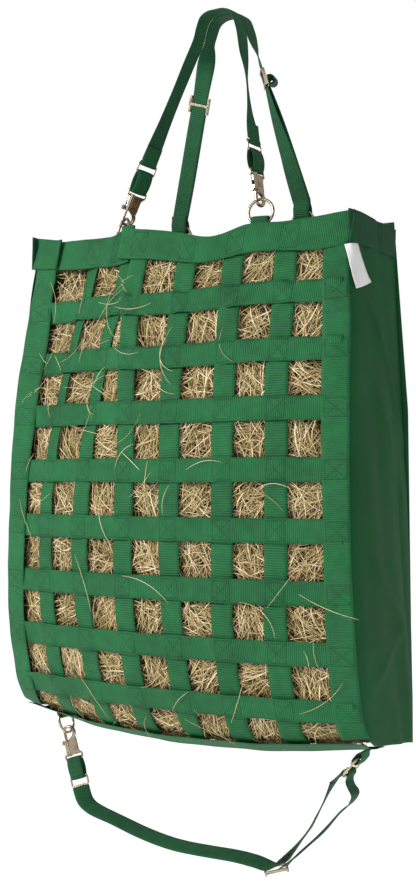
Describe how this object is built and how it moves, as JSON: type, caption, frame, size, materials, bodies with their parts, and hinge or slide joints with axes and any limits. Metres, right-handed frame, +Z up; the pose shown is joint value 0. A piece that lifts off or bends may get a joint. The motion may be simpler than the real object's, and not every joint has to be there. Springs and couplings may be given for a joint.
{
  "type": "slow-feed hay bag",
  "caption": "Hanging slow-feed hay net bag: webbing grid front and underside, fabric sides, clip-on hanging straps and an adjustable bottom strap.",
  "frame": {"origin": "under the top of the hanging straps, midway between them, where a hook or rail carries the bag", "axes": "+Z up, front net towards -Y, bag width along X"},
  "size_m": [0.5922, 0.2124, 1.1826],
  "materials": {
    "net_webbing": "ribbed polypropylene webbing",
    "band_webbing": "ribbed webbing",
    "strap_webbing": "ribbed webbing",
    "side_fabric": "plain woven nylon",
    "hay": "loose dry stalks",
    "label": "plain woven tape",
    "nickel": "nickel-plated",
    "spring_steel": "plain spring wire"
  },
  "bodies": {
    "bag": {"back_panel": "side_fabric", "bottom_strap": "strap_webbing", "bottom_strap_return": "strap_webbing", "hang_strap_front": "strap_webbing", "hang_strap_rear": "strap_webbing", "hay_fill": "hay", "net_border_left": "net_webbing", "net_border_right": "net_webbing", "net_bottom_hem": "net_webbing", "net_horizontal_strap_1": "net_webbing", "net_horizontal_strap_2": "net_webbing", "net_horizontal_strap_3": "net_webbing", "net_horizontal_strap_4": "net_webbing", "net_horizontal_strap_5": "net_webbing", "net_horizontal_strap_6": "net_webbing", "net_horizontal_strap_7": "net_webbing", "net_horizontal_strap_8": "net_webbing", "net_vertical_strap_1": "net_webbing", "net_vertical_strap_2": "net_webbing", "net_vertical_strap_3": "net_webbing", "net_vertical_strap_4": "net_webbing", "net_vertical_strap_5": "net_webbing", "net_vertical_strap_6": "net_webbing", "ring_tab_bottom_left": "strap_webbing", "ring_tab_bottom_right": "strap_webbing", "ring_tab_front_left": "strap_webbing", "ring_tab_front_right": "strap_webbing", "ring_tab_rear_left": "strap_webbing", "ring_tab_rear_right": "strap_webbing", "side_label": "label", "side_panel_left": "side_fabric", "side_panel_right": "side_fabric", "strap_slide_bottom": "nickel", "top_band_front": "band_webbing", "top_band_rear": "band_webbing", "underside_cross_strap": "net_webbing", "underside_rear_hem": "net_webbing"},
    "ring_front_left": {"ring_front_left": "nickel"},
    "ring_front_right": {"ring_front_right": "nickel"},
    "ring_rear_left": {"ring_rear_left": "nickel"},
    "ring_rear_right": {"ring_rear_right": "nickel"},
    "ring_bottom_left": {"ring_bottom_left": "nickel"},
    "ring_bottom_right": {"ring_bottom_right": "nickel"},
    "snap_link_front_left": {"rect_ring_front_left": "nickel", "snap_tab_front_left": "strap_webbing"},
    "snap_front_left": {"snap_body_front_left": "nickel", "snap_spring_front_left": "spring_steel"},
    "snap_bolt_front_left": {"snap_bolt_front_left": "nickel"},
    "snap_link_front_right": {"rect_ring_front_right": "nickel", "snap_tab_front_right": "strap_webbing"},
    "snap_front_right": {"snap_body_front_right": "nickel", "snap_spring_front_right": "spring_steel"},
    "snap_bolt_front_right": {"snap_bolt_front_right": "nickel"},
    "snap_link_bottom_left": {"rect_ring_bottom_left": "nickel", "snap_tab_bottom_left": "strap_webbing"},
    "snap_bottom_left": {"snap_body_bottom_left": "nickel", "snap_spring_bottom_left": "spring_steel"},
    "snap_bolt_bottom_left": {"snap_bolt_bottom_left": "nickel"},
    "strap_slide_rear_left": {"strap_slide_rear_left": "nickel"},
    "strap_slide_rear_right": {"strap_slide_rear_right": "nickel"}
  },
  "joints": [
    {"name": "ring_swing_front_left", "type": "hinge", "parent": "bag", "child": "ring_front_left", "pos_m": [-0.14338, -0.05249, -0.30742], "axis": [-0.8746, 0.4848, 0], "range_deg": [-3, 3]},
    {"name": "ring_swing_front_right", "type": "hinge", "parent": "bag", "child": "ring_front_right", "pos_m": [0.09227, -0.05327, -0.30572], "axis": [0.9781, 0.2079, 0], "range_deg": [-4, 4]},
    {"name": "ring_swing_rear_left", "type": "hinge", "parent": "bag", "child": "ring_rear_left", "pos_m": [-0.11613, 0.05881, -0.30665], "axis": [0.9976, 0.0698, 0], "range_deg": [-4, 4]},
    {"name": "ring_swing_rear_right", "type": "hinge", "parent": "bag", "child": "ring_rear_right", "pos_m": [0.0929, 0.05842, -0.30571], "axis": [0.9976, 0.0698, 0], "range_deg": [-4, 4]},
    {"name": "ring_swing_bottom_left", "type": "hinge", "parent": "bag", "child": "ring_bottom_left", "pos_m": [-0.32016, 0.03572, -1.01068], "axis": [-0.0872, 0.9962, 0], "range_deg": [-3, 3]},
    {"name": "ring_swing_bottom_right", "type": "hinge", "parent": "bag", "child": "ring_bottom_right", "pos_m": [0.24286, -0.0614, -1.00368], "axis": [-0.0872, 0.9962, 0], "range_deg": [-4, 4]},
    {"name": "link_swing_front_left", "type": "hinge", "parent": "bag", "child": "snap_link_front_left", "pos_m": [-0.10099, -0.04523, -0.20735], "axis": [0.2978, 0.9365, -0.185], "range_deg": [-2, 2]},
    {"name": "snap_swing_front_left", "type": "hinge", "parent": "snap_link_front_left", "child": "snap_front_left", "pos_m": [-0.11759, -0.04713, -0.24369], "axis": [0.2978, 0.9365, -0.185], "range_deg": [-3, 3]},
    {"name": "bolt_draw_front_left", "type": "slide", "parent": "snap_front_left", "child": "snap_bolt_front_left", "axis": [0.4151, 0.0475, 0.9085], "range_m": [0, 0.009], "stiffness_N_per_m": 150, "springref_m": -0.004},
    {"name": "link_swing_front_right", "type": "hinge", "parent": "bag", "child": "snap_link_front_right", "pos_m": [0.07515, -0.04358, -0.19811], "axis": [0.0486, 0.9958, -0.0781], "range_deg": [-2, 2]},
    {"name": "snap_swing_front_right", "type": "hinge", "parent": "snap_link_front_right", "child": "snap_front_right", "pos_m": [0.08198, -0.04699, -0.23738], "axis": [0.0486, 0.9958, -0.0781], "range_deg": [-3, 3]},
    {"name": "bolt_draw_front_right", "type": "slide", "parent": "snap_front_right", "child": "snap_bolt_front_right", "axis": [-0.1707, 0.0854, 0.9816], "range_m": [0, 0.009], "stiffness_N_per_m": 150, "springref_m": -0.004},
    {"name": "link_swing_bottom_left", "type": "hinge", "parent": "bag", "child": "snap_link_bottom_left", "pos_m": [-0.28579, 0.03288, -1.11458], "axis": [0.9371, 0.1568, 0.3119], "range_deg": [-2, 2]},
    {"name": "snap_swing_bottom_left", "type": "hinge", "parent": "snap_link_bottom_left", "child": "snap_bottom_left", "pos_m": [-0.2986, 0.03413, -1.07671], "axis": [0.9371, 0.1568, 0.3119], "range_deg": [-3, 3]},
    {"name": "bolt_draw_bottom_left", "type": "slide", "parent": "snap_bottom_left", "child": "snap_bolt_bottom_left", "axis": [0.3204, -0.0312, -0.9468], "range_m": [0, 0.009], "stiffness_N_per_m": 150, "springref_m": -0.004},
    {"name": "slide_along_rear_left", "type": "slide", "parent": "bag", "child": "strap_slide_rear_left", "axis": [-0.3165, 0.1558, -0.9357], "range_m": [0, 0.1]},
    {"name": "slide_along_rear_right", "type": "slide", "parent": "bag", "child": "strap_slide_rear_right", "axis": [0.234, 0.1643, -0.9583], "range_m": [0, 0.04]}
  ]
}
